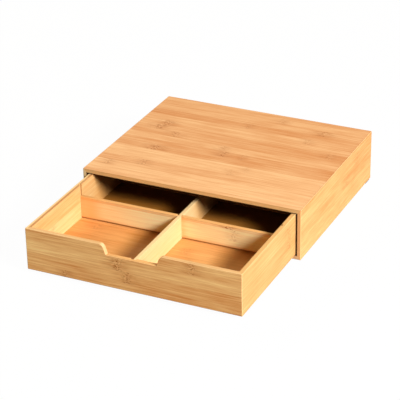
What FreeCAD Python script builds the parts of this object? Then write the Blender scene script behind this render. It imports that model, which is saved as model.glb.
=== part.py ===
import FreeCAD, Part
import os
from FreeCAD import Vector
from math import radians, tan

# Drawer box: a bamboo cabinet, open at the front, with one divided drawer that
# slides in and out of it.  Millimetres, +X right, +Y to the back, +Z up.  The
# origin is on the table, under the middle of the whole object with its drawer
# standing open by drawer_opening.

# Cabinet: four mitred boards make a sleeve, and a back panel closes it.
cabinet_width = 300.0
cabinet_depth = 250.0
cabinet_height = 69.0
cabinet_board = 5.5
back_board = 5.5
cabinet_edge_round = 1.0
cabinet_mouth_round = 0.4

# Four thin pads under the cabinet's corners.
pad_side = 18.0
pad_thickness = 1.0
pad_corner_radius = 3.0
front_pad_inset = 8.0
rear_pad_side_inset = 0.5
rear_pad_back_inset = 1.5

# Drawer, and its running clearances in the cabinet.
drawer_opening = 160.0
drawer_board = 6.0
drawer_back_board = 6.0
drawer_edge_round = 0.9
drawer_rim_round = 0.6
side_clearance = 2.0
bottom_clearance = 0.3
top_clearance = 1.7
rear_clearance = 1.0

# Finger scoop in the drawer front.
scoop_bottom_width = 66.5
scoop_depth = 13.0
scoop_flank_angle = 71.0
scoop_shoulder_radius = 6.5
scoop_corner_radius = 0.8

# Drawer floor, held in a groove that runs round all four drawer boards.
floor_thickness = 3.5
floor_top_height = 10.5
floor_groove_depth = 3.0
floor_edge_gap = 0.4

# Dividers: they stand in upright grooves and lift out.  The lengthwise one has
# slid to the right by the play that its wide end grooves leave it, and the cross
# dividers stand in narrow grooves by the tongues at their ends.
divider_thickness = 5.2
divider_height = 30.4
divider_edge_round = 0.5
lengthwise_divider_offset = 2.1
lengthwise_divider_play = 1.9
cross_divider_setback = 126.8
cross_divider_lift_gap = 1.5
cross_tongue_thickness = 2.8
board_groove_depth = 2.5
divider_groove_depth = 1.4
groove_clearance = 0.2

# How far a cutting tool overshoots the face that it enters.
overshoot = 1.0

# Places that follow from the sizes above.
cabinet_front = (drawer_opening - cabinet_depth) / 2
cabinet_back = cabinet_front + cabinet_depth
cabinet_side = cabinet_width / 2
cabinet_bottom = pad_thickness
cabinet_top = cabinet_bottom + cabinet_height
mouth_side = cabinet_side - cabinet_board
mouth_bottom = cabinet_bottom + cabinet_board
mouth_top = cabinet_top - cabinet_board

drawer_side = mouth_side - side_clearance
drawer_front = cabinet_front - drawer_opening
drawer_back = cabinet_back - back_board - rear_clearance - drawer_opening
drawer_bottom = mouth_bottom + bottom_clearance
drawer_top = mouth_top - top_clearance
tray_side = drawer_side - drawer_board
tray_front = drawer_front + drawer_board
tray_back = drawer_back - drawer_back_board

floor_top = drawer_bottom + floor_top_height
floor_bottom = floor_top - floor_thickness
divider_bottom = floor_top + groove_clearance
divider_top = floor_top + divider_height
lengthwise_left = lengthwise_divider_offset - divider_thickness / 2
lengthwise_right = lengthwise_divider_offset + divider_thickness / 2
cross_front = drawer_front + cross_divider_setback
cross_back = cross_front + divider_thickness
tongue_front = (cross_front + cross_back - cross_tongue_thickness) / 2
tongue_back = tongue_front + cross_tongue_thickness


def box(x_low, y_low, z_low, x_high, y_high, z_high):
    """A block between two opposite corners."""
    return Part.makeBox(x_high - x_low, y_high - y_low, z_high - z_low, Vector(x_low, y_low, z_low))


def prism(outline, direction):
    """A closed flat outline, given as its corner points, swept along a direction."""
    points = [Vector(*point) for point in outline]
    wire = Part.makePolygon(points + points[:1])
    return Part.Face(wire).extrude(Vector(*direction))


def edges_on(shape, **planes):
    """The edges of a shape that lie wholly in each named plane, such as x=5, z=0."""
    def lies_on(edge):
        bounds = edge.BoundBox
        for axis, place in planes.items():
            low = getattr(bounds, axis.upper() + "Min")
            high = getattr(bounds, axis.upper() + "Max")
            if max(abs(low - place), abs(high - place)) > 1e-4:
                return False
        return True
    return [edge for edge in shape.Edges if lies_on(edge)]


def rounded(shape, radius, edges):
    """The shape with those edges rounded, each edge once."""
    single = []
    for edge in edges:
        if not any(edge.isSame(other) for other in single):
            single.append(edge)
    return shape.makeFillet(radius, single)


def save(node, shape):
    """One closed solid to its own file."""
    solid = shape.removeSplitter()
    if len(solid.Solids) != 1 or not solid.isValid():
        raise ValueError(f"{node} isn't one sound solid")
    solid.Solids[0].exportStep(f"parts/{node}.step")


def cabinet_sleeve():
    """The four outer boards as one ring, with its outer edges and its mouth eased."""
    sleeve = box(-cabinet_side, cabinet_front, cabinet_bottom, cabinet_side, cabinet_back, cabinet_top)
    sleeve = rounded(sleeve, cabinet_edge_round, sleeve.Edges)
    hollow = box(-mouth_side, cabinet_front - overshoot, mouth_bottom,
                 mouth_side, cabinet_back + overshoot, mouth_top)
    sleeve = sleeve.cut(hollow)
    mouth = []
    for x_place in (-mouth_side, mouth_side):
        mouth += edges_on(sleeve, x=x_place, y=cabinet_front)
    for z_place in (mouth_bottom, mouth_top):
        mouth += edges_on(sleeve, z=z_place, y=cabinet_front)
    return rounded(sleeve, cabinet_mouth_round, mouth)


def cabinet_boards():
    """The sleeve parted at its mitres into top, bottom, left and right boards."""
    sleeve = cabinet_sleeve()
    outer = {
        "left_bottom": (-cabinet_side, cabinet_bottom),
        "right_bottom": (cabinet_side, cabinet_bottom),
        "right_top": (cabinet_side, cabinet_top),
        "left_top": (-cabinet_side, cabinet_top),
    }
    inner = {
        "left_bottom": (-mouth_side, mouth_bottom),
        "right_bottom": (mouth_side, mouth_bottom),
        "right_top": (mouth_side, mouth_top),
        "left_top": (-mouth_side, mouth_top),
    }
    spans = {
        "cabinet_top": ("left_top", "right_top"),
        "cabinet_bottom": ("left_bottom", "right_bottom"),
        "cabinet_left_side": ("left_bottom", "left_top"),
        "cabinet_right_side": ("right_bottom", "right_top"),
    }
    for node, (start, end) in spans.items():
        corners = [outer[start], outer[end], inner[end], inner[start]]
        outline = [(x, cabinet_front, z) for x, z in corners]
        save(node, sleeve.common(prism(outline, (0, cabinet_depth, 0))))


def cabinet_back_panel():
    """The panel that closes the sleeve, flush with its rear edges."""
    save("cabinet_back", box(-mouth_side, cabinet_back - back_board, mouth_bottom,
                             mouth_side, cabinet_back, mouth_top))


def corner_pads():
    """A thin pad near each corner of the cabinet's underside."""
    front_x = cabinet_side - front_pad_inset - pad_side
    front_y = cabinet_front + front_pad_inset
    rear_x = cabinet_side - rear_pad_side_inset - pad_side
    rear_y = cabinet_back - rear_pad_back_inset - pad_side
    places = {
        "pad_front_left": (-front_x - pad_side, front_y),
        "pad_front_right": (front_x, front_y),
        "pad_rear_left": (-rear_x - pad_side, rear_y),
        "pad_rear_right": (rear_x, rear_y),
    }
    for node, (x_low, y_low) in places.items():
        pad = box(x_low, y_low, 0, x_low + pad_side, y_low + pad_side, pad_thickness)
        corners = []
        for x_place in (x_low, x_low + pad_side):
            for y_place in (y_low, y_low + pad_side):
                corners += edges_on(pad, x=x_place, y=y_place)
        save(node, rounded(pad, pad_corner_radius, corners))


def finger_scoop():
    """The cutter for the scoop: sloping flanks, and a flat bottom with rounded corners."""
    scoop_bottom = drawer_top - scoop_depth
    bottom_half = scoop_bottom_width / 2
    cutter_height = scoop_depth + overshoot
    top_half = bottom_half + cutter_height / tan(radians(scoop_flank_angle))
    start = drawer_front - overshoot
    outline = [
        (-bottom_half, start, scoop_bottom),
        (bottom_half, start, scoop_bottom),
        (top_half, start, drawer_top + overshoot),
        (-top_half, start, drawer_top + overshoot),
    ]
    cutter = prism(outline, (0, drawer_board + 2 * overshoot, 0))
    corners = edges_on(cutter, x=-bottom_half, z=scoop_bottom) + edges_on(cutter, x=bottom_half, z=scoop_bottom)
    return rounded(cutter, scoop_corner_radius, corners)


def shoulder_edges(ring):
    """The two sharp edges where the scoop's flanks meet the rim."""
    rim_half = scoop_bottom_width / 2 + scoop_depth / tan(radians(scoop_flank_angle))
    return edges_on(ring, x=-rim_half, z=drawer_top) + edges_on(ring, x=rim_half, z=drawer_top)


def rim_edges(ring):
    """The edges round the drawer's rim and scoop, without the seams across the front board."""
    rim = []
    for edge in ring.Edges:
        bounds = edge.BoundBox
        crosses_front = bounds.XLength < 1e-4 and bounds.YMax < tray_front + 1e-4
        on_front_face = edges_on(edge, y=drawer_front) or edges_on(edge, y=tray_front)
        beside_scoop = on_front_face and bounds.ZMin > floor_top
        if not crosses_front and (beside_scoop or edges_on(edge, z=drawer_top)):
            rim.append(edge)
    return rim


def drawer_ring():
    """The four drawer boards as one ring, with the scoop cut and the edges eased."""
    ring = box(-drawer_side, drawer_front, drawer_bottom, drawer_side, drawer_back, drawer_top)
    ring = rounded(ring, drawer_edge_round, [edge for edge in ring.Edges if not edges_on(edge, z=drawer_top)])
    ring = ring.cut(box(-tray_side, tray_front, drawer_bottom - overshoot,
                        tray_side, tray_back, drawer_top + overshoot))
    ring = ring.cut(finger_scoop())
    ring = rounded(ring, scoop_shoulder_radius, shoulder_edges(ring))
    return rounded(ring, drawer_rim_round, rim_edges(ring))


def floor_groove():
    """The room that the floor panel needs in the boards round it."""
    reach = floor_groove_depth
    return box(-tray_side - reach, tray_front - reach, floor_bottom,
               tray_side + reach, tray_back + reach, floor_top)


def divider_grooves():
    """Upright grooves, open at the top, that hold the ends of the three dividers."""
    top = drawer_top + overshoot
    cross = box(-tray_side - board_groove_depth, tongue_front - groove_clearance, floor_top,
                tray_side + board_groove_depth, tongue_back + groove_clearance, top)
    lengthwise = box(lengthwise_left - lengthwise_divider_play, tray_front - board_groove_depth, floor_top,
                     lengthwise_right + groove_clearance, tray_back + board_groove_depth, top)
    return cross.fuse(lengthwise)


def drawer_boards():
    """The drawer ring parted into front, sides and back: mitred in front, butted behind."""
    ring = drawer_ring().cut(floor_groove()).cut(divider_grooves())
    low = drawer_bottom - overshoot
    tall = (0, 0, drawer_top - drawer_bottom + 2 * overshoot)
    front_outline = [
        (-drawer_side, drawer_front, low),
        (drawer_side, drawer_front, low),
        (tray_side, tray_front, low),
        (-tray_side, tray_front, low),
    ]
    save("drawer_front", ring.common(prism(front_outline, tall)))
    for node, hand in (("drawer_left_side", -1), ("drawer_right_side", 1)):
        side_outline = [
            (hand * drawer_side, drawer_front, low),
            (hand * drawer_side, drawer_back, low),
            (hand * tray_side, drawer_back, low),
            (hand * tray_side, tray_front, low),
        ]
        save(node, ring.common(prism(side_outline, tall)))
    back_room = box(-tray_side, tray_back, low, tray_side, drawer_back, drawer_top + overshoot)
    save("drawer_back", ring.common(back_room))


def drawer_floor():
    """The floor panel, its edges just short of the bottom of the groove."""
    reach = floor_groove_depth - floor_edge_gap
    save("drawer_floor", box(-tray_side - reach, tray_front - reach, floor_bottom,
                             tray_side + reach, tray_back + reach, floor_top))


def eased_top(divider, axis, places):
    """The divider with the long edges of its top face eased, at those places along an axis."""
    edges = []
    for place in places:
        edges += edges_on(divider, **{axis: place, "z": divider_top})
    return rounded(divider, divider_edge_round, edges)


def lengthwise_divider():
    """The front-to-back divider, grooved on both faces for the cross dividers' tongues."""
    reach = board_groove_depth - groove_clearance
    divider = box(lengthwise_left, tray_front - reach, divider_bottom,
                  lengthwise_right, tray_back + reach, divider_top)
    divider = eased_top(divider, "x", (lengthwise_left, lengthwise_right))
    for x_low, x_high in ((lengthwise_left - overshoot, lengthwise_left + divider_groove_depth),
                          (lengthwise_right - divider_groove_depth, lengthwise_right + overshoot)):
        divider = divider.cut(box(x_low, tongue_front - groove_clearance, divider_bottom - overshoot,
                                  x_high, tongue_back + groove_clearance, divider_top + overshoot))
    save("lengthwise_divider", divider)


def cross_divider(node, body_low, body_high, tongue_low, tongue_high):
    """One cross divider: its tongues stand on the floor, and the span between them clears it."""
    divider = box(body_low, cross_front, divider_bottom, body_high, cross_back, divider_top)
    divider = eased_top(divider, "y", (cross_front, cross_back))
    divider = divider.fuse(box(tongue_low, tongue_front, divider_bottom,
                               tongue_high, tongue_back, divider_top - divider_edge_round))
    relief = box(body_low, cross_front - overshoot, divider_bottom - overshoot,
                 body_high, cross_back + overshoot, floor_top + cross_divider_lift_gap)
    save(node, divider.cut(relief))


def cross_dividers():
    """The left and right dividers, each between a drawer side and the lengthwise divider."""
    outer_tongue = tray_side + board_groove_depth - groove_clearance
    outer_end = tray_side - groove_clearance
    inner_reach = divider_groove_depth - groove_clearance
    cross_divider("left_cross_divider", -outer_end, lengthwise_left - lengthwise_divider_play,
                  -outer_tongue, lengthwise_left + inner_reach)
    cross_divider("right_cross_divider", lengthwise_right + groove_clearance, outer_end,
                  lengthwise_right - inner_reach, outer_tongue)


os.makedirs("parts", exist_ok=True)
cabinet_boards()
cabinet_back_panel()
corner_pads()
drawer_boards()
drawer_floor()
lengthwise_divider()
cross_dividers()
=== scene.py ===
"""Finishes, stage, lights and camera for a low bamboo cabinet with a pull-out drawer."""

import math
import random

import bpy
from bpy.props import FloatProperty, FloatVectorProperty, PointerProperty
from mathutils import Matrix, Vector


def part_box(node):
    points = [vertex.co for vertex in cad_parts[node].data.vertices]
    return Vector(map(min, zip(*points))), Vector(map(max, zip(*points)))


bl_info = {
    "name": "Bamboo Drawer Box",
    "version": (1, 0, 0),
    "blender": (4, 5, 0),
    "location": "3D View > Sidebar > Drawer Box",
    "description": "Finishes a bamboo cabinet, its drawer and its lift-out dividers",
    "category": "Object",
}

MM = 1000.0

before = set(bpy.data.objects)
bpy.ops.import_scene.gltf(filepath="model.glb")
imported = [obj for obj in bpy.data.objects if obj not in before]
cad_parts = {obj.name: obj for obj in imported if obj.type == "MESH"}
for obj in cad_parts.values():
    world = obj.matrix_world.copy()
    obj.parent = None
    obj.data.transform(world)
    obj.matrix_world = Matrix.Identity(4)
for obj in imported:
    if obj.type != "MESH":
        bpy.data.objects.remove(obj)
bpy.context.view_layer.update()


# ---------------------------------------------------------------- settings


def colour(name, description, default):
    return FloatVectorProperty(
        name=name, description=description, default=default,
        subtype="COLOR", size=3, min=0.0, max=1.0,
    )


class BambooSettings(bpy.types.PropertyGroup):
    strip_width: FloatProperty(
        name="Strip width", description="Width of the bamboo strips glued into a board",
        default=0.0154, min=0.005, max=0.04, unit="LENGTH",
    )
    grain_depth: FloatProperty(
        name="Grain depth", description="How deep the brushed grain is",
        default=0.00006, min=0.0, max=0.001, unit="LENGTH",
    )
    roughness: FloatProperty(
        name="Roughness", description="Roughness of the satin lacquer",
        default=0.5, min=0.05, max=1.0, subtype="FACTOR",
    )
    lacquer: FloatProperty(
        name="Lacquer", description="Weight of the clear lacquer",
        default=0.06, min=0.0, max=1.0, subtype="FACTOR",
    )
    face_pale: colour(
        "Face, pale", "Pale strips of the cabinet's top, bottom and back", (0.945, 0.535, 0.255)
    )
    face_amber: colour(
        "Face, amber", "Dark strips of the cabinet's top, bottom and back", (0.77, 0.340, 0.130)
    )
    front_pale: colour("Front, pale", "Pale strips of the drawer's front", (0.95, 0.55, 0.205))
    front_amber: colour("Front, amber", "Dark strips of the drawer's front", (0.77, 0.342, 0.100))
    wall_pale: colour("Wall, pale", "Pale strips of the drawer's left side", (0.92, 0.615, 0.275))
    wall_amber: colour("Wall, amber", "Dark strips of the drawer's left side", (0.85, 0.46, 0.17))
    side_pale: colour(
        "Side, pale", "Pale strips of the cabinet's sides and the drawer's right side and back",
        (0.845, 0.483, 0.178),
    )
    side_amber: colour(
        "Side, amber", "Dark strips of the cabinet's sides and the drawer's right side and back",
        (0.785, 0.376, 0.124),
    )
    floor_pale: colour("Floor, pale", "Pale strips of the drawer's floor", (0.945, 0.465, 0.157))
    floor_amber: colour("Floor, amber", "Dark strips of the drawer's floor", (0.735, 0.288, 0.070))
    cream_pale: colour("Cream, pale", "Pale strips of the lengthwise divider", (0.92, 0.64, 0.31))
    cream_amber: colour("Cream, amber", "Dark strips of the lengthwise divider", (0.86, 0.52, 0.20))
    peach_pale: colour("Peach, pale", "Pale strips of the cross dividers", (1.0, 0.83, 0.44))
    peach_amber: colour("Peach, amber", "Dark strips of the cross dividers", (0.88, 0.43, 0.135))
    # Also used for the painted shade along the drawer front's foot and inside the drawer's right rim.
    knuckle: colour("Knuckle", "Brown of the knuckles and dark fibres", (0.42, 0.110, 0.015))
    # Painted shade on the back ends of the drawer's left side and lengthwise divider, under the
    # cabinet's top.
    back_shade: colour(
        "Painted_back_shade", "Back ends of the drawer's left side and lengthwise divider", (0.72, 0.25, 0.02)
    )
    # Painted shade on the drawer's floor: at its back, behind its front and to the right of each
    # compartment.
    shaded: colour(
        "Shaded floor", "Drawer floor at its back, at its front and to the right of each compartment",
        (0.48, 0.175, 0.018),
    )
    rim: colour("Front edge", "Front edge of the cabinet's right side", (1.0, 0.50, 0.185))
    # Paler colour on the eased edges: partly wear, partly painted highlight where the rounding catches
    # the light.
    worn: colour("Worn edge", "Paler bamboo where the eased edges are rubbed", (0.97, 0.68, 0.34))
    # Painted shade on the cabinet's inner faces, where little light gets in.
    inside: colour("Inside", "Dim bare bamboo inside the cabinet", (0.09, 0.034, 0.010))
    crevice: colour("Crevice", "Glue and shade in the joints between boards", (0.085, 0.014, 0.002))


class PadSettings(bpy.types.PropertyGroup):
    foam: colour("Foam", "Colour of the anti-slip pads", (0.045, 0.022, 0.013))
    cell: FloatProperty(
        name="Cell size", description="Size of the foam's cells",
        default=0.0004, min=0.0001, max=0.002, unit="LENGTH",
    )


class StageSettings(bpy.types.PropertyGroup):
    key: FloatProperty(
        name="Key light", description="Strength of the soft light from the right",
        default=1.0, min=0.0, max=20.0,
    )
    fill: FloatProperty(
        name="Fill light", description="Strength of the light from the left and behind",
        default=1.0, min=0.0, max=20.0,
    )
    fill_tint: colour("Fill tint", "Colour of the light from the left and behind", (1.0, 0.86, 0.56))
    sky: FloatProperty(
        name="Room light", description="Strength of the light from all around",
        default=0.055, min=0.0, max=2.0,
    )
    sky_tint: colour("Room tint", "Colour of the light from all around", (1.0, 0.88, 0.65))
    floor_white: FloatProperty(
        name="Floor white", description="Share of the floor that shows as plain white",
        default=0.98, min=0.0, max=1.0, subtype="FACTOR",
    )
    bounce: FloatProperty(
        name="Floor bounce", description="How much light the floor throws back up at the box",
        default=0.45, min=0.0, max=1.0, subtype="FACTOR",
    )
    lens: FloatProperty(
        name="Lens", description="Focal length of the camera, in millimetres",
        default=152.53, min=20.0, max=300.0, unit="CAMERA",
    )


# ---------------------------------------------------------------- node helpers


def feed(tree, value, socket):
    """Link value into the socket if it comes out of a node, or set it there."""
    if isinstance(value, bpy.types.NodeSocket):
        tree.links.new(value, socket)
    else:
        socket.default_value = value


def add(tree, kind, settings=None, **inputs):
    """A node of that kind. Its inputs are given by name, or by number as i0, i1 and so on."""
    node = tree.nodes.new(kind)
    for name, value in (settings or {}).items():
        setattr(node, name, value)
    for name, value in inputs.items():
        which = int(name[1:]) if name[1:].isdigit() else name.replace("_", " ")
        feed(tree, value, node.inputs[which])
    return node


def calc(tree, operation, *values, clamp=False):
    settings = {"operation": operation, "use_clamp": clamp}
    inputs = {f"i{k}": v for k, v in enumerate(values)}
    return add(tree, "ShaderNodeMath", settings, **inputs).outputs[0]


def ramp(tree, value, low, high, to_low=0.0, to_high=1.0, smooth=True):
    """Value between low and high turned into to_low to to_high, held outside them."""
    kind = "SMOOTHSTEP" if smooth else "LINEAR"
    node = add(
        tree, "ShaderNodeMapRange", {"interpolation_type": kind, "clamp": True},
        Value=value, From_Min=low, From_Max=high, To_Min=to_low, To_Max=to_high,
    )
    return node.outputs["Result"]


def blend_colours(tree, factor, first, second, held=True):
    """The first colour turning into the second. Held keeps it from going past either."""
    settings = {"data_type": "RGBA", "clamp_factor": held}
    return add(tree, "ShaderNodeMix", settings, i0=factor, i6=first, i7=second).outputs[2]


def place(tree, x, y, z):
    return add(tree, "ShaderNodeCombineXYZ", i0=x, i1=y, i2=z).outputs[0]


def noise(tree, vector, scale=1.0, detail=2.0, roughness=0.5):
    node = add(
        tree, "ShaderNodeTexNoise", {"noise_dimensions": "3D"},
        Vector=vector, Scale=scale, Detail=detail, Roughness=roughness,
    )
    return node.outputs["Fac"]


def new_group(name, inputs, outputs):
    """An empty node group with those named sockets, and its input and output nodes."""
    tree = bpy.data.node_groups.new(name, "ShaderNodeTree")
    for socket, kind, default in inputs:
        made = tree.interface.new_socket(socket, in_out="INPUT", socket_type=kind)
        if default is not None:
            made.default_value = default
    for socket, kind in outputs:
        tree.interface.new_socket(socket, in_out="OUTPUT", socket_type=kind)
    given = tree.nodes.new("NodeGroupInput").outputs
    out = tree.nodes.new("NodeGroupOutput").inputs
    return tree, given, out


def use_group(tree, group, **inputs):
    return add(tree, "ShaderNodeGroup", {"node_tree": group}, **inputs).outputs


def rgba(value):
    return (value[0], value[1], value[2], 1.0)


def grey(value):
    return (value, value, value, 1.0)


VALUE = "NodeSocketFloat"
COLOUR = "NodeSocketColor"
VECTOR = "NodeSocketVector"


# ---------------------------------------------------------------- shared effects

# How many waves of each noise fit in a millimetre, along the cane and across it.
DRIFT_WAVES = (0.017, 0.04)
STREAK_WAVES = (0.014, 0.42)
FIBRE_WAVES = (0.035, 1.9)
SPECK_WAVES = (0.32, 0.8)
SMOKE_WAVES = (0.07, 0.45)
SWAY_WAVES_ACROSS = 0.16

# The part of each noise that is used: the level that counts as none, and the one that counts in full.
DRIFT_SPAN = (0.25, 0.75)
STREAK_SPAN = (0.3, 0.7)
FIBRE_SPAN = (0.35, 0.68)
DARK_SPECK_SPAN = (0.50, 0.62)
PALE_SPECK_SPAN = (0.54, 0.42)
SMOKE_SPAN = (0.34, 0.62)

# Steps that set one noise off another: by a knuckle's place, by a strip's number, and how far along
# the cane each strip's step moves its fibres.
KNUCKLE_STEP = 3.7
STRIP_STEP = 13.7
JUMP_ALONG = 41.0

# A knuckle's line sways over this many millimetres along the cane. Its core and its smoky halo end
# and are full at these multiples of its reach, and the smoke shows by its share.
KNUCKLE_SWAY = 11.0
CORE_FADE = (1.5, 0.1)
HALO_FADE = (4.2, 0.2)
SMOKE_SHARE = 0.5

# Cut ends of the fibres: dots in a millimetre, how unevenly they lie, and how far from its middle a
# dot ends and is full, in dot spacings. A face is a cut end from this far turned along the cane.
DOTS_PER_MM = 1.7
DOT_DISORDER = 0.9
DOT_FADE = (0.42, 0.12)
CUT_END_TURN = (0.6, 0.92)

# An edge begins to ease where its normal's largest part falls below the first of these, and is
# fully rounded at the second.
EASED_TURN = (0.995, 0.86)

# How strongly each effect moves a strip's tone, and how much of it shows in the colour.
DRIFT_TONE = 0.50
STREAK_TONE = 1.05
FIBRE_TONE = 0.50
BROWN_SHARE = 0.95
PALE_SHARE = 0.6
JOINT_SHARE = 0.22
END_SHARE = 0.4
DOT_SHARE = 0.25
WEAR_AND_HIGHLIGHT_SHARE = 0.6

# How far each effect sinks below the board's face, in shares of the grain's depth.
SINKS = {"Fibre": -0.5, "Streak": -0.25, "Brown": -0.2, "Joint": -0.8}


def stretched(tree, along, across, depth, waves, shift=0.0):
    """A place on the cane, scaled for a noise of those waves along and across it."""
    lengthwise, crosswise = waves
    return place(
        tree, calc(tree, "MULTIPLY_ADD", along, lengthwise, shift),
        calc(tree, "MULTIPLY", across, crosswise), depth,
    )


def knuckle_group():
    """One knuckle of the cane across each strip: brown and pale specks and bent fibres."""
    tree, given, out = new_group(
        "Bamboo knuckle",
        [
            ("Along", VALUE, 0.0), ("Across", VALUE, 0.0), ("Depth", VALUE, 0.0),
            ("Place", VALUE, 0.0), ("Reach", VALUE, 4.0), ("Strength", VALUE, 1.0),
        ],
        [("Brown", VALUE), ("Pale", VALUE), ("Bend", VALUE)],
    )
    across, depth, strength = given["Across"], given["Depth"], given["Strength"]
    seed = calc(tree, "MULTIPLY", given["Place"], KNUCKLE_STEP)
    sway_at = place(tree, seed, calc(tree, "MULTIPLY", across, SWAY_WAVES_ACROSS), depth)
    sway = calc(tree, "SUBTRACT", noise(tree, sway_at), 0.5)
    off = calc(tree, "SUBTRACT", given["Along"], given["Place"])
    off = calc(tree, "MULTIPLY_ADD", sway, KNUCKLE_SWAY, off)
    far = calc(tree, "DIVIDE", calc(tree, "ABSOLUTE", off), given["Reach"])
    core = ramp(tree, far, *CORE_FADE)
    halo = ramp(tree, far, *HALO_FADE)
    speck_at = stretched(tree, off, across, depth, SPECK_WAVES, seed)
    speck = noise(tree, speck_at, detail=3.0, roughness=0.65)
    dark = ramp(tree, speck, *DARK_SPECK_SPAN)
    light = ramp(tree, speck, *PALE_SPECK_SPAN)
    smoke_at = stretched(tree, off, across, depth, SMOKE_WAVES, seed)
    smoke = ramp(tree, noise(tree, smoke_at, detail=2.0, roughness=0.6), *SMOKE_SPAN)
    brown = calc(tree, "MULTIPLY", core, dark)
    brown = calc(tree, "MULTIPLY_ADD", calc(tree, "MULTIPLY", halo, smoke), SMOKE_SHARE, brown)
    feed(tree, calc(tree, "MULTIPLY", brown, strength), out["Brown"])
    feed(tree, calc(tree, "MULTIPLY", calc(tree, "MULTIPLY", core, light), strength), out["Pale"])
    feed(tree, calc(tree, "MULTIPLY", calc(tree, "MULTIPLY", core, sway), strength), out["Bend"])
    return tree


def fibre_group():
    """Long fibres of the cane: slow drift along a strip, streaks, and fine dark fibres."""
    tree, given, out = new_group(
        "Bamboo fibres",
        [
            ("Along", VALUE, 0.0), ("Across", VALUE, 0.0), ("Depth", VALUE, 0.0),
            ("Strip", VALUE, 0.0), ("Seed", VALUE, 0.0),
        ],
        [("Drift", VALUE), ("Streak", VALUE), ("Fibre", VALUE)],
    )
    across, depth = given["Across"], given["Depth"]
    jump = calc(tree, "MULTIPLY_ADD", given["Strip"], STRIP_STEP, given["Seed"])
    along = calc(tree, "ADD", given["Along"], calc(tree, "MULTIPLY", jump, JUMP_ALONG))
    drift_at = stretched(tree, along, across, jump, DRIFT_WAVES)
    drift = noise(tree, drift_at, detail=2.0, roughness=0.5)
    streak_deep = calc(tree, "MULTIPLY", depth, STREAK_WAVES[1])
    streak_at = stretched(tree, along, across, streak_deep, STREAK_WAVES)
    streak = noise(tree, streak_at, detail=4.0, roughness=0.62)
    fibre_deep = calc(tree, "MULTIPLY", depth, FIBRE_WAVES[1])
    fibre_at = stretched(tree, along, across, fibre_deep, FIBRE_WAVES)
    fibre = noise(tree, fibre_at, detail=3.0, roughness=0.6)
    feed(tree, ramp(tree, drift, *DRIFT_SPAN, smooth=False), out["Drift"])
    feed(tree, ramp(tree, streak, *STREAK_SPAN, smooth=False), out["Streak"])
    feed(tree, ramp(tree, fibre, *FIBRE_SPAN, smooth=False), out["Fibre"])
    return tree


def end_grain_group():
    """The cut ends of the fibres, as small dark dots on the faces that look along the cane."""
    tree, given, out = new_group(
        "Bamboo end grain",
        [("Across", VALUE, 0.0), ("Depth", VALUE, 0.0), ("Facing", VALUE, 0.0)],
        [("Dots", VALUE), ("Mask", VALUE)],
    )
    cells = add(
        tree, "ShaderNodeTexVoronoi", {"feature": "F1"},
        Vector=place(tree, given["Across"], given["Depth"], 0.0),
        Scale=DOTS_PER_MM, Randomness=DOT_DISORDER,
    )
    feed(tree, ramp(tree, cells.outputs["Distance"], *DOT_FADE), out["Dots"])
    feed(tree, ramp(tree, calc(tree, "ABSOLUTE", given["Facing"]), *CUT_END_TURN), out["Mask"])
    return tree


def eased_edge_group():
    """Where a board's edge is rounded over: its normal leans away from the board's three axes."""
    tree, given, out = new_group("Eased edge", [("Normal", VECTOR, None)], [("Mask", VALUE)])
    parts = add(tree, "ShaderNodeSeparateXYZ", i0=given["Normal"]).outputs
    largest = calc(tree, "ABSOLUTE", parts[0])
    for part in (parts[1], parts[2]):
        largest = calc(tree, "MAXIMUM", largest, calc(tree, "ABSOLUTE", part))
    feed(tree, ramp(tree, largest, *EASED_TURN), out["Mask"])
    return tree


def bamboo_colour_group():
    """Strip tone, fibres, knuckles and joints laid over each other as one colour."""
    tree, given, out = new_group(
        "Bamboo colour",
        [
            ("Tone", VALUE, 0.0), ("Drift", VALUE, 0.5), ("Streak", VALUE, 0.5),
            ("Fibre", VALUE, 0.5), ("Brown", VALUE, 0.0), ("Paleness", VALUE, 0.0),
            ("Joint", VALUE, 0.0), ("Edge", VALUE, 0.0), ("Dots", VALUE, 0.0), ("End", VALUE, 0.0),
            ("Contrast", VALUE, 1.0),
            ("Pale", COLOUR, None), ("Amber", COLOUR, None), ("Dark", COLOUR, None),
            ("Worn", COLOUR, None),
        ],
        [("Colour", COLOUR), ("Height", VALUE)],
    )
    drift = calc(tree, "MULTIPLY", calc(tree, "SUBTRACT", given["Drift"], 0.5), DRIFT_TONE)
    streak = calc(tree, "MULTIPLY", calc(tree, "SUBTRACT", given["Streak"], 0.5), STREAK_TONE)
    fine = calc(tree, "MULTIPLY", calc(tree, "SUBTRACT", given["Fibre"], 0.5), FIBRE_TONE)
    spread = calc(tree, "ADD", calc(tree, "ADD", drift, streak), fine)
    tone = calc(tree, "MULTIPLY_ADD", spread, given["Contrast"], given["Tone"])
    tint = blend_colours(tree, tone, given["Pale"], given["Amber"], held=False)
    dots = calc(tree, "MULTIPLY", given["Dots"], DOT_SHARE)
    layers = (
        (calc(tree, "MULTIPLY", given["Brown"], BROWN_SHARE, clamp=True), given["Dark"]),
        (calc(tree, "MULTIPLY", given["Paleness"], PALE_SHARE, clamp=True), given["Pale"]),
        (calc(tree, "MULTIPLY", given["Joint"], JOINT_SHARE, clamp=True), given["Dark"]),
        (calc(tree, "MULTIPLY", given["End"], END_SHARE), given["Amber"]),
        (calc(tree, "MULTIPLY", given["End"], dots), given["Dark"]),
        # Eased edges turn paler: partly wear, partly painted highlight.
        (calc(tree, "MULTIPLY", given["Edge"], WEAR_AND_HIGHLIGHT_SHARE, clamp=True), given["Worn"]),
    )
    for amount, over in layers:
        tint = blend_colours(tree, amount, tint, over)
    feed(tree, tint, out["Colour"])
    height = 1.0
    for name, sink in SINKS.items():
        height = calc(tree, "MULTIPLY_ADD", given[name], sink, height)
    feed(tree, height, out["Height"])
    return tree


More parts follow.
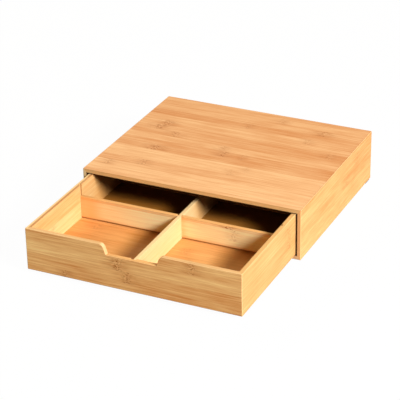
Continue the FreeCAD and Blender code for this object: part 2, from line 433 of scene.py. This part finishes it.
EFFECT_BUILDERS = {
    "knuckle": knuckle_group,
    "fibres": fibre_group,
    "end_grain": end_grain_group,
    "edge": eased_edge_group,
    "colour": bamboo_colour_group,
}
EFFECTS = {}


def effect(name):
    """A shared node group, built the first time it is asked for."""
    if name not in EFFECTS:
        EFFECTS[name] = EFFECT_BUILDERS[name]()
    return EFFECTS[name]


# ---------------------------------------------------------------- bamboo boards

# A strip chart holds places from -CHART_SPAN to CHART_SPAN and reaches up to CHART_REACH, in
# millimetres, as numbers from 0 to 1.
CHART_SPAN = 250.0
CHART_REACH = 10.0

# Most of the knuckles that one strip of a board may have.
KNUCKLES_ON_A_STRIP = 2

# Where the first strip of a board begins, in millimetres.
CABINET_TOP_START = -53.6
CABINET_SIDE_START = -16.0
DRAWER_FRONT_START = 1.2
DRAWER_SIDE_START = -6.3
DRAWER_FLOOR_START = -207.0
LENGTHWISE_START = 9.6
CROSS_START = 12.9

# How far the tones of an evenly laid board stray from each other.
TONE_SPREAD = 0.16

# The cabinet's front edge, from just before it to just behind it.
FRONT_EDGE = (-46.0, -44.7)

# Half the length over which a mark's ends fade, in millimetres.
CRISP = 0.2


def mark(axis, first, last, looks, painted, amount, fade=CRISP):
    """A painted line or patch from first to last along an axis, on faces that look that way."""
    return axis, first, last, looks, painted, amount, fade


class Board:
    """How one board is laid up from strips, in millimetres.

    tint is the kind of bamboo, such as "face"; along and across are the board's axes;
    start is where its first strip begins;
    strips gives each strip's tone at its low and high end, 0 pale to 1 amber;
    knuckles gives (along, across, strength, reach);
    inner is the way the face inside the cabinet looks, such as "-Z";
    marks are its painted lines and patches;
    the last gives how much painted shade darkens its end behind the cabinet's front.
    """

    def __init__(
        self, tint, along, across, start, strips, knuckles=(), seed=0, contrast=1.0, inner="",
        marks=(), back_shade=0.0,
    ):
        self.tint = tint
        self.along = "XYZ".index(along)
        self.across = "XYZ".index(across)
        self.depth = 3 - self.along - self.across
        self.start = start
        self.strips = strips
        self.knuckles = knuckles
        self.seed = seed
        self.contrast = contrast
        self.inner = inner
        self.marks = marks
        self.back_shade = back_shade


def even(count, tone, seed, lean=0.0):
    """Strips of much the same tone, darker by lean at their low end and paler by it at the other."""
    draw = random.Random(seed)
    return [
        (
            tone + lean + draw.uniform(-TONE_SPREAD, TONE_SPREAD),
            tone - lean + draw.uniform(-TONE_SPREAD, TONE_SPREAD),
        )
        for _ in range(count)
    ]


CROSS_DIVIDER_MARKS = (
    mark("Z", 10.0, 19.7, "-Y", "crevice", 1.0),  # painted shade and glue in the joint at its foot
    mark("Z", 46.0, 49.0, "-Y", "knuckle", 0.15),  # a faint line under its top edge
    mark("Z", 46.0, 49.0, "+Z", "peach_amber", 0.8),  # its top edge
    mark("Z", 10.0, 50.0, "+Y", "peach_amber", 0.6),  # its back
)

BOARDS = {
    "cabinet_top": Board(
        "face", "X", "Y", CABINET_TOP_START,
        (
            (0.30, 0.12), (0.18, 0.05), (0.25, 0.10), (0.66, 0.35), (0.20, 0.15), (0.20, 0.12),
            (0.70, 0.75), (0.70, 0.95), (0.32, 0.48), (0.70, 0.70), (0.62, 0.98), (0.44, 0.42),
            (0.42, 0.54), (1.00, 0.80), (0.42, 0.60), (0.52, 0.42), (0.50, 0.62),
        ),
        (
            (-110, 123.5, 1.0, 6), (-117, 108, 1.0, 6), (-86, 92.7, 0.6, 6), (-92, 46.5, 1.0, 7),
            (-10, 77.3, 0.6, 5), (-3, 61.9, 0.9, 5), (25, 61.9, 0.6, 3), (95, 169.7, 0.8, 6),
            (84, 138.9, 0.5, 5), (-6, 154.3, 0.6, 4), (29, 15.7, 0.4, 4), (44, 31.1, 0.35, 4),
            (-86, 0.3, 0.8, 5), (-130, -15.1, 0.7, 4), (30, 185.1, 0.5, 5), (128, 108, 0.5, 6),
        ),
        seed=1, inner="-Z",
        marks=(
            mark("Y", *FRONT_EDGE, "-Y", "front_pale", 0.9),
            mark("Z", 68.6, 71.0, "-Y", "knuckle", 0.35),  # a line along the top of the front edge
            mark("X", 148.7, 151.0, "+Z", "knuckle", 0.35),  # a line along the right edge
        ),
    ),
    "cabinet_bottom": Board(
        "face", "X", "Y", CABINET_TOP_START, even(17, 0.45, 3),
        ((40, 30, 0.8, 5), (-70, 100, 0.8, 5)), seed=2, inner="+Z",
    ),
    "cabinet_left_side": Board(
        "side", "Y", "Z", CABINET_SIDE_START, even(6, 0.35, 5),
        ((20, 37, 0.8, 5), (140, 53, 0.7, 5)), seed=3, contrast=1.5, inner="+X",
        marks=(
            # its front edge made paler: wear and painted light where it stands in shade
            mark("Y", *FRONT_EDGE, "-Y", "worn", 0.9),
            mark("X", -145.3, -144.0, "-Y", "crevice", 0.85),  # shade beside the drawer
        ),
    ),
    "cabinet_right_side": Board(
        "side", "Y", "Z", CABINET_SIDE_START,
        ((0.15, 0.35), (0.15, 0.35), (0.10, 0.40), (0.75, 0.95), (0.25, 0.75), (0.50, 1.00)),
        ((112, 38, 0.5, 6), (150, 53.7, 0.4, 5)), seed=4, contrast=1.8, inner="-X",
        marks=(
            mark("Z", 68.1, 69.0, "+X", "knuckle", 0.35),  # a line under the top
            mark("Y", *FRONT_EDGE, "-Y", "rim", 0.9),
            mark("X", 144.0, 145.3, "-Y", "crevice", 0.85),  # shade beside the drawer
        ),
    ),
    "cabinet_back": Board(
        "face", "X", "Z", CABINET_SIDE_START, even(6, 0.4, 7),
        ((60, 38, 0.8, 5), (-50, 22, 0.8, 5)), seed=5, inner="-Y",
    ),
    "drawer_front": Board(
        "front", "X", "Z", DRAWER_FRONT_START,
        ((0.75, 0.95), (0.50, 0.78), (0.05, 0.38), (0.45, 0.48), (0.5, 0.5)),
        ((-19, 39.7, 1.0, 6), (-6.7, 24.3, 0.8, 5), (78.3, 55.1, 0.75, 5), (-91, 12, 0.8, 5)),
        seed=6, contrast=1.3,
        marks=(
            mark("X", -70.0, 70.0, "+X", "face_pale", 0.8),  # the scoop's left end
            mark("Z", 60.0, 64.0, "+Z", "worn", 0.35),  # the top edge
            mark("Z", 5.0, 7.8, "-Y", "knuckle", 0.45),  # painted shade along the foot
        ),
    ),
    "drawer_left_side": Board(
        "wall", "Y", "Z", DRAWER_SIDE_START,
        ((0.15, 0.9), (0.15, 0.9), (0.10, 0.9), (1.00, 0.70), (0.90, 0.80)),
        ((-150, 32, 0.25, 4),), seed=7, back_shade=0.5,
        marks=(
            mark("X", -144.0, -140.0, "+Z", "worn", 0.9),  # painted highlight on the outer part of the top edge
            mark("X", -139.4, -136.0, "+Z", "knuckle", 0.55),  # the inner part of the top edge
        ),
    ),
    "drawer_right_side": Board(
        "side", "Y", "Z", DRAWER_SIDE_START,
        ((0.4, 0.5), (0.5, 0.35), (0.55, 0.65), (0.4, 0.5), (0.45, 0.45)),
        ((-66, 46, 0.5, 5), (-64, 32, 0.55, 6)), seed=8, contrast=1.2,
        marks=(
            mark("X", 136.0, 141.9, "+Z", "side_pale", 0.9),  # the top edge
            mark("X", 136.0, 137.3, "+Z", "knuckle", 0.3),  # painted shade along its inner side
        ),
    ),
    "drawer_back": Board(
        "side", "X", "Z", DRAWER_SIDE_START, even(5, 0.3, 13), ((35, 32, 0.7, 5),), seed=9
    ),
    "drawer_floor": Board(
        "floor", "X", "Y", DRAWER_FLOOR_START, even(17, 0.38, 17, 0.22),
        ((23.5, -106, 0.4, 5), (-106, -84, 0.4, 5)), seed=10, contrast=0.8, back_shade=0.85,
        marks=(
            mark("X", -54.0, 0.0, "+Z", "shaded", 0.5, fade=16.0),  # painted shadow left of the lengthwise divider
            mark("X", 66.0, 150.0, "+Z", "shaded", 0.45, fade=12.0),  # painted shadow beside the right side
            mark("Y", -210.0, -125.0, "+Z", "shaded", 0.3, fade=16.0),  # painted shade behind the front
        ),
    ),
    "lengthwise_divider": Board(
        "cream", "Y", "Z", LENGTHWISE_START, even(3, 0.2, 19), seed=11, contrast=0.7, back_shade=0.5,
        marks=(mark("Z", 46.9, 49.0, "+Z", "worn", 0.7),),  # the top edge
    ),
    "left_cross_divider": Board(
        "peach", "X", "Z", CROSS_START, ((0.36, 0.0), (0.36, 0.0), (0.80, 0.50)),
        seed=12, contrast=0.35,
        marks=(
            *CROSS_DIVIDER_MARKS,
            mark("X", -160.0, -112.0, "-Y", "peach_amber", 0.7, fade=12.0),  # its left end
            mark("Z", 10.0, 21.5, "-Y", "peach_amber", 0.5, fade=2.0),  # an amber band along its foot, partly tone, partly painted bounce light from the floor
        ),
    ),
    "right_cross_divider": Board(
        "peach", "X", "Z", CROSS_START, ((0.25, 0.0), (0.25, 0.0), (0.60, 0.50)),
        ((68, 46, 1.0, 6), (76, 36, 0.4, 4)), seed=13, contrast=0.4,
        marks=(
            *CROSS_DIVIDER_MARKS,
            mark("X", 0.0, 10.0, "-Y", "peach_amber", 0.45, fade=6.0),  # its left end
            mark("Z", 10.0, 21.5, "-Y", "peach_amber", 0.6, fade=2.0),  # an amber band along its foot, partly tone, partly painted bounce light from the floor
        ),
    ),
}

# A joint between strips: how far from it its line begins to show and is darkest, in millimetres.
JOINT_FADE = (0.22, 0.05)

# How far a knuckle bends the fibres beside it across the strip, in millimetres.
KNUCKLE_BEND = 3.0

# Steps that set the fibres of one board off another's.
BOARD_STEP = 5.3

# Places along Y in millimetres, with the drawer standing open: where the painted shade on a board's
# back end begins and where it is deepest, and where the drawer begins to look dim to bounced light and
# does fully.
DEEPENS = (-55.0, -20.0)
GOES_DIM = (-90.0, -60.0)

# How far a face has to turn towards a way to begin to count as looking that way, and to count fully.
MARK_TURN = (0.2, 0.5)
INNER_TURN = (0.1, 0.4)

# The satin lacquer.
ROUGHNESS_DRIFT = 0.06
LACQUER_ROUGHNESS = 0.35
BAMBOO_SHINE = 0.2
GRAIN_RELIEF = 0.6


def strip_chart(tree, where, rows):
    """Three numbers from 0 to 1 for each strip, as a stepped ramp's red, green and blue."""
    node = add(tree, "ShaderNodeValToRGB", i0=where)
    node.color_ramp.interpolation = "CONSTANT"
    stops = node.color_ramp.elements
    stops.remove(stops[1])
    for k, row in enumerate(rows):
        stop = stops[0] if k == 0 else stops.new(k / len(rows))
        stop.position = k / len(rows)
        stop.color = rgba(row)
    return add(tree, "ShaderNodeSeparateColor", i0=node.outputs["Color"]).outputs


def knuckle_rows(board, width, turn):
    """Each strip's knuckle number turn, counted from 0, as its place, strength and reach."""
    rows = []
    for k in range(len(board.strips)):
        edge = board.start + k * width
        found = [spot for spot in board.knuckles if edge <= spot[1] < edge + width]
        if turn < len(found):
            along, _, strength, reach = found[turn]
            rows.append(((along + CHART_SPAN) / (2 * CHART_SPAN), strength, reach / CHART_REACH))
        else:
            rows.append((0.0, 0.0, 1.0))
    return rows


def lay_knuckles(tree, board, width, where, along, across, depth):
    """The board's knuckles laid over each other, as brown, pale and bend, or nothing without any."""
    laid = {}
    for turn in range(KNUCKLES_ON_A_STRIP):
        rows = knuckle_rows(board, width, turn)
        if not any(row[1] for row in rows):
            continue
        chart = strip_chart(tree, where, rows)
        spots = use_group(
            tree, effect("knuckle"), Along=along, Across=across, Depth=depth,
            Place=ramp(tree, chart[0], 0.0, 1.0, -CHART_SPAN, CHART_SPAN, smooth=False),
            Strength=chart[1], Reach=calc(tree, "MULTIPLY", chart[2], CHART_REACH),
        )
        for name in ("Brown", "Pale", "Bend"):
            laid[name] = calc(tree, "ADD", laid[name], spots[name]) if name in laid else spots[name]
    return laid


def looking(tree, facing, way):
    """How far each face turns towards a way such as "-Z", from -1 to 1."""
    sign = float(way[0] + "1")
    return calc(tree, "MULTIPLY", facing["XYZ".index(way[1])], sign)


def paint_marks(tree, tint, look, board, axes, facing):
    """The board's painted lines and patches over its colour."""
    for axis, first, last, way, painted, amount, fade in board.marks:
        at = axes["XYZ".index(axis)]
        begins = ramp(tree, at, first - fade, first + fade)
        ends = ramp(tree, at, last + fade, last - fade)
        band = calc(tree, "MULTIPLY", begins, ends)
        shown = ramp(tree, looking(tree, facing, way), *MARK_TURN, 0.0, amount)
        band = calc(tree, "MULTIPLY", band, shown)
        tint = blend_colours(tree, band, tint, rgba(getattr(look, painted)))
    return tint


def dim_inside(tree, tint, look, board, axes, facing):
    """Painted shade on the cabinet's inner faces, and the light that the drawer throws into it damped.
    """
    if board.inner:
        dim = ramp(tree, looking(tree, facing, board.inner), *INNER_TURN)
    else:
        path = tree.nodes.new("ShaderNodeLightPath").outputs
        dim = calc(tree, "MULTIPLY", ramp(tree, axes[1], *GOES_DIM), path["Is Diffuse Ray"])
    return blend_colours(tree, dim, tint, rgba(look.inside))


def bamboo_material(node_name, board):
    """The board's strips, fibres, knuckles, end grain and satin lacquer, in its own axes."""
    look = bpy.context.scene.drawer_box_bamboo
    width = look.strip_width * MM
    low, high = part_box(node_name)
    material = bpy.data.materials.new(f"bamboo_{node_name}")
    material.use_nodes = True
    tree = material.node_tree
    shader = tree.nodes["Principled BSDF"]

    coordinates = tree.nodes.new("ShaderNodeTexCoord").outputs
    scaled = add(
        tree, "ShaderNodeVectorMath", {"operation": "SCALE"}, i0=coordinates["Object"], Scale=MM
    ).outputs[0]
    axes = add(tree, "ShaderNodeSeparateXYZ", i0=scaled).outputs
    along, across, depth = axes[board.along], axes[board.across], axes[board.depth]
    facing = add(tree, "ShaderNodeSeparateXYZ", i0=coordinates["Normal"]).outputs

    inward = calc(tree, "SUBTRACT", across, board.start)
    order = calc(tree, "DIVIDE", inward, width)
    where = calc(tree, "DIVIDE", order, float(len(board.strips)))
    knuckles = lay_knuckles(tree, board, width, where, along, across, depth)
    bent = calc(tree, "MULTIPLY_ADD", knuckles["Bend"], KNUCKLE_BEND, across) if knuckles else across

    chart = strip_chart(tree, where, [(first, last, 0.0) for first, last in board.strips])
    share = ramp(tree, along, low[board.along] * MM, high[board.along] * MM)
    tone = add(tree, "ShaderNodeMix", {"data_type": "FLOAT"}, i0=share, i2=chart[0], i3=chart[1])
    fibres = use_group(
        tree, effect("fibres"), Along=along, Across=bent, Depth=depth,
        Strip=calc(tree, "FLOOR", order), Seed=board.seed * BOARD_STEP,
    )
    ends = use_group(
        tree, effect("end_grain"), Across=across, Depth=depth, Facing=facing[board.along]
    )
    shades = {
        "Tone": tone.outputs[0], "Drift": fibres["Drift"], "Streak": fibres["Streak"],
        "Fibre": fibres["Fibre"], "Contrast": board.contrast,
        "Joint": ramp(tree, calc(tree, "PINGPONG", inward, width / 2), *JOINT_FADE),
        "Edge": use_group(tree, effect("edge"), Normal=coordinates["Normal"])["Mask"],
        "Dots": ends["Dots"], "End": ends["Mask"],
        "Pale": rgba(getattr(look, board.tint + "_pale")),
        "Amber": rgba(getattr(look, board.tint + "_amber")),
        "Dark": rgba(look.knuckle),
        "Worn": rgba(look.worn),
    }
    if knuckles:
        shades["Brown"] = knuckles["Brown"]
        shades["Paleness"] = knuckles["Pale"]
    mixed = use_group(tree, effect("colour"), **shades)
    tint = mixed["Colour"]
    # Painted shade deepening the end that stands under the cabinet's top.
    if board.back_shade:
        deeper = look.shaded if board.tint == "floor" else look.back_shade
        amount = ramp(tree, axes[1], *DEEPENS, 0.0, board.back_shade)
        tint = blend_colours(tree, amount, tint, rgba(deeper))
    tint = paint_marks(tree, tint, look, board, axes, facing)
    tint = dim_inside(tree, tint, look, board, axes, facing)
    feed(tree, tint, shader.inputs["Base Color"])

    smoothest, roughest = look.roughness - ROUGHNESS_DRIFT, look.roughness + ROUGHNESS_DRIFT
    rough = ramp(tree, fibres["Streak"], 0.0, 1.0, smoothest, roughest, smooth=False)
    feed(tree, rough, shader.inputs["Roughness"])
    shader.inputs["Coat Weight"].default_value = look.lacquer
    shader.inputs["Coat Roughness"].default_value = LACQUER_ROUGHNESS
    shader.inputs["Specular IOR Level"].default_value = BAMBOO_SHINE
    bump = add(
        tree, "ShaderNodeBump",
        Strength=GRAIN_RELIEF, Distance=look.grain_depth, Height=mixed["Height"],
    )
    feed(tree, bump.outputs["Normal"], shader.inputs["Normal"])
    return material


def cover(name, material):
    """Give a piece that material and no other."""
    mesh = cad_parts[name].data
    mesh.materials.clear()
    mesh.materials.append(material)


def finish_boards(*names):
    for name in names:
        cover(name, bamboo_material(name, BOARDS[name]))


# ---------------------------------------------------------------- foam pads

PAD_CORNERS = ("front_left", "front_right", "rear_left", "rear_right")
PAD_DARKEST = 0.6
PAD_ROUGHNESS = 0.9
PAD_RELIEF = 0.7


def foam_material(look):
    """Dark matt foam with small open cells."""
    material = bpy.data.materials.new("pad_foam")
    material.use_nodes = True
    tree = material.node_tree
    shader = tree.nodes["Principled BSDF"]
    at = tree.nodes.new("ShaderNodeTexCoord").outputs["Object"]
    cells = noise(tree, at, scale=1.0 / look.cell, detail=2.0, roughness=0.6)
    darker = [PAD_DARKEST * part for part in look.foam]
    tint = blend_colours(tree, cells, rgba(darker), rgba(look.foam))
    feed(tree, tint, shader.inputs["Base Color"])
    shader.inputs["Roughness"].default_value = PAD_ROUGHNESS
    bump = add(tree, "ShaderNodeBump", Strength=PAD_RELIEF, Distance=look.cell / 2, Height=cells)
    feed(tree, bump.outputs["Normal"], shader.inputs["Normal"])
    return material


# ---------------------------------------------------------------- floor, lamps and camera

WHITE = (1.0, 1.0, 1.0)

# The floor reaches this far to each side, in metres, and takes shadows as a matt near white.
FLOOR_REACH = 4.0
FLOOR_PAINT = 0.95
FLOOR_ROUGHNESS = 0.9
FLOOR_SHINE = 0.1

# The lamps stand this far from the point they aim at, in metres.
LAMP_AIM = (0.0, -0.03, 0.03)
LAMP_DISTANCE = 4.0
KEY_STRENGTH = 1.52
BACK_STRENGTH = 0.58

# The camera's place in metres, its turns in degrees, and its sensor in millimetres.
CAMERA_PLACE = (0.82356, -1.73691, 1.01342)
CAMERA_AZIMUTH = 25.547
CAMERA_ELEVATION = 27.015
CAMERA_ROLL = -1.074
CAMERA_SENSOR = 36.0
CAMERA_NEAREST = 0.05
CAMERA_FURTHEST = 20.0


def soft_lamp(name, strength, wide, high, azimuth, elevation, tint=WHITE):
    """A soft lamp under which a white face turned to it shows at that strength.

    wide and high are its size in degrees as the box sees it. azimuth is in degrees from the box's
    right, positive towards its back, and elevation in degrees above the floor."""
    turn, tilt = math.radians(azimuth), math.radians(elevation)
    toward = Vector((math.cos(tilt) * math.cos(turn), math.cos(tilt) * math.sin(turn), math.sin(tilt)))
    light = bpy.data.lights.new(name, "AREA")
    light.shape = "RECTANGLE"
    light.size = 2 * LAMP_DISTANCE * math.tan(math.radians(wide / 2))
    light.size_y = 2 * LAMP_DISTANCE * math.tan(math.radians(high / 2))
    light.color = tint
    light.energy = strength * math.pi * math.pi * LAMP_DISTANCE**2
    lamp = bpy.data.objects.new(name, light)
    lamp.location = Vector(LAMP_AIM) + toward * LAMP_DISTANCE
    lamp.rotation_euler = toward.to_track_quat("Z", "Y").to_euler()
    bpy.context.scene.collection.objects.link(lamp)


def floor_material(look):
    """White where the camera sees it, apart from a faint shadow, and grey for the light it bounces."""
    material = bpy.data.materials.new("floor_white")
    material.use_nodes = True
    tree = material.node_tree
    shader = tree.nodes["Principled BSDF"]
    shader.inputs["Roughness"].default_value = FLOOR_ROUGHNESS
    shader.inputs["Specular IOR Level"].default_value = FLOOR_SHINE
    glow = add(tree, "ShaderNodeEmission", Color=rgba(WHITE), Strength=1.0)
    path = tree.nodes.new("ShaderNodeLightPath").outputs
    paint = blend_colours(tree, path["Is Camera Ray"], grey(look.bounce), grey(FLOOR_PAINT))
    feed(tree, paint, shader.inputs["Base Color"])
    seen = calc(tree, "MULTIPLY", path["Is Camera Ray"], look.floor_white)
    mix = add(tree, "ShaderNodeMixShader", i0=seen, i1=shader.outputs[0], i2=glow.outputs[0])
    output = next(n for n in tree.nodes if n.type == "OUTPUT_MATERIAL")
    feed(tree, mix.outputs[0], output.inputs["Surface"])
    return material


def stage_floor(look):
    """A wide pale floor that shows as near white and keeps the object's shadow."""
    far = FLOOR_REACH
    corners = [(-far, -far, 0), (far, -far, 0), (far, far, 0), (-far, far, 0)]
    mesh = bpy.data.meshes.new("floor")
    mesh.from_pydata(corners, [], [(0, 1, 2, 3)])
    mesh.materials.append(floor_material(look))
    floor = bpy.data.objects.new("floor", mesh)
    bpy.context.scene.collection.objects.link(floor)


def stage_world(look):
    """Even room light, with white behind the object where the camera looks past the floor."""
    world = bpy.data.worlds.new("room")
    bpy.context.scene.world = world
    world.use_nodes = True
    tree = world.node_tree
    room = tree.nodes["Background"]
    room.inputs["Color"].default_value = rgba(look.sky_tint)
    room.inputs["Strength"].default_value = look.sky
    white = add(tree, "ShaderNodeBackground", Color=rgba(WHITE), Strength=1.0)
    path = tree.nodes.new("ShaderNodeLightPath").outputs
    mix = add(
        tree, "ShaderNodeMixShader", i0=path["Is Camera Ray"], i1=room.outputs[0], i2=white.outputs[0]
    )
    output = next(n for n in tree.nodes if n.type == "OUTPUT_WORLD")
    feed(tree, mix.outputs[0], output.inputs["Surface"])


def stage_camera(look):
    """A long lens from the front right, looking down at the open drawer."""
    azimuth, elevation = math.radians(CAMERA_AZIMUTH), math.radians(CAMERA_ELEVATION)
    roll = math.radians(CAMERA_ROLL)
    forward = Vector((
        -math.sin(azimuth) * math.cos(elevation),
        math.cos(azimuth) * math.cos(elevation),
        -math.sin(elevation),
    ))
    level = Vector((math.cos(azimuth), math.sin(azimuth), 0.0))
    upright = level.cross(forward)
    right = math.cos(roll) * level + math.sin(roll) * upright
    up = math.cos(roll) * upright - math.sin(roll) * level
    lens = bpy.data.cameras.new("camera")
    lens.lens = look.lens
    lens.sensor_width = CAMERA_SENSOR
    lens.clip_start = CAMERA_NEAREST
    lens.clip_end = CAMERA_FURTHEST
    camera = bpy.data.objects.new("camera", lens)
    bpy.context.scene.collection.objects.link(camera)
    turned = Matrix((right, up, -forward)).transposed().to_4x4()
    camera.matrix_world = Matrix.Translation(CAMERA_PLACE) @ turned
    bpy.context.scene.camera = camera


# ---------------------------------------------------------------- operators


class DRAWERBOX_OT_cabinet(bpy.types.Operator):
    """Finish the cabinet's five boards in lacquered bamboo"""

    bl_idname = "drawer_box.cabinet"
    bl_label = "Finish Cabinet"

    def execute(self, context):
        finish_boards(
            "cabinet_top", "cabinet_bottom", "cabinet_left_side", "cabinet_right_side", "cabinet_back"
        )
        return {"FINISHED"}


class DRAWERBOX_OT_drawer(bpy.types.Operator):
    """Finish the drawer's four boards and its floor"""

    bl_idname = "drawer_box.drawer"
    bl_label = "Finish Drawer"

    def execute(self, context):
        finish_boards(
            "drawer_front", "drawer_left_side", "drawer_right_side", "drawer_back", "drawer_floor"
        )
        return {"FINISHED"}


class DRAWERBOX_OT_dividers(bpy.types.Operator):
    """Finish the three lift-out dividers in paler bamboo"""

    bl_idname = "drawer_box.dividers"
    bl_label = "Finish Dividers"

    def execute(self, context):
        finish_boards("lengthwise_divider", "left_cross_divider", "right_cross_divider")
        return {"FINISHED"}


class DRAWERBOX_OT_pads(bpy.types.Operator):
    """Finish the four anti-slip pads in dark foam"""

    bl_idname = "drawer_box.pads"
    bl_label = "Finish Pads"

    def execute(self, context):
        foam = foam_material(context.scene.drawer_box_pads)
        for corner in PAD_CORNERS:
            cover(f"pad_{corner}", foam)
        return {"FINISHED"}


class DRAWERBOX_OT_stage(bpy.types.Operator):
    """Set out the floor, the lamps and the camera"""

    bl_idname = "drawer_box.stage"
    bl_label = "Set Stage"

    def execute(self, context):
        look = context.scene.drawer_box_stage
        stage_floor(look)
        stage_world(look)
        soft_lamp("key", KEY_STRENGTH * look.key, wide=20, high=12, azimuth=-23, elevation=31.5)
        soft_lamp(
            "back", BACK_STRENGTH * look.fill, wide=50, high=24, azimuth=150, elevation=32,
            tint=look.fill_tint,
        )
        stage_camera(look)
        context.scene.view_settings.view_transform = "Standard"
        return {"FINISHED"}


STEPS = (
    DRAWERBOX_OT_cabinet, DRAWERBOX_OT_drawer, DRAWERBOX_OT_dividers, DRAWERBOX_OT_pads,
    DRAWERBOX_OT_stage,
)
GROUPS = {
    "drawer_box_bamboo": BambooSettings,
    "drawer_box_pads": PadSettings,
    "drawer_box_stage": StageSettings,
}


class DRAWERBOX_PT_panel(bpy.types.Panel):
    """Lists the sizes, the colours and the steps of the drawer box"""

    bl_idname = "DRAWERBOX_PT_panel"
    bl_label = "Drawer Box"
    bl_space_type = "VIEW_3D"
    bl_region_type = "UI"
    bl_category = "Drawer Box"

    def draw(self, context):
        for step in STEPS:
            self.layout.operator(step.bl_idname)
        for group, kind in GROUPS.items():
            box = self.layout.box()
            settings = getattr(context.scene, group)
            for name in kind.__annotations__:
                box.prop(settings, name)


def register():
    for cls in (*GROUPS.values(), *STEPS, DRAWERBOX_PT_panel):
        bpy.utils.register_class(cls)
    for name, group in GROUPS.items():
        setattr(bpy.types.Scene, name, PointerProperty(type=group))


def unregister():
    for name in GROUPS:
        delattr(bpy.types.Scene, name)
    for cls in (DRAWERBOX_PT_panel, *reversed(STEPS), *GROUPS.values()):
        bpy.utils.unregister_class(cls)


def main():
    register()
    bpy.ops.drawer_box.cabinet()
    bpy.ops.drawer_box.drawer()
    bpy.ops.drawer_box.dividers()
    bpy.ops.drawer_box.pads()
    bpy.ops.drawer_box.stage()


if __name__ == "__main__":
    main()
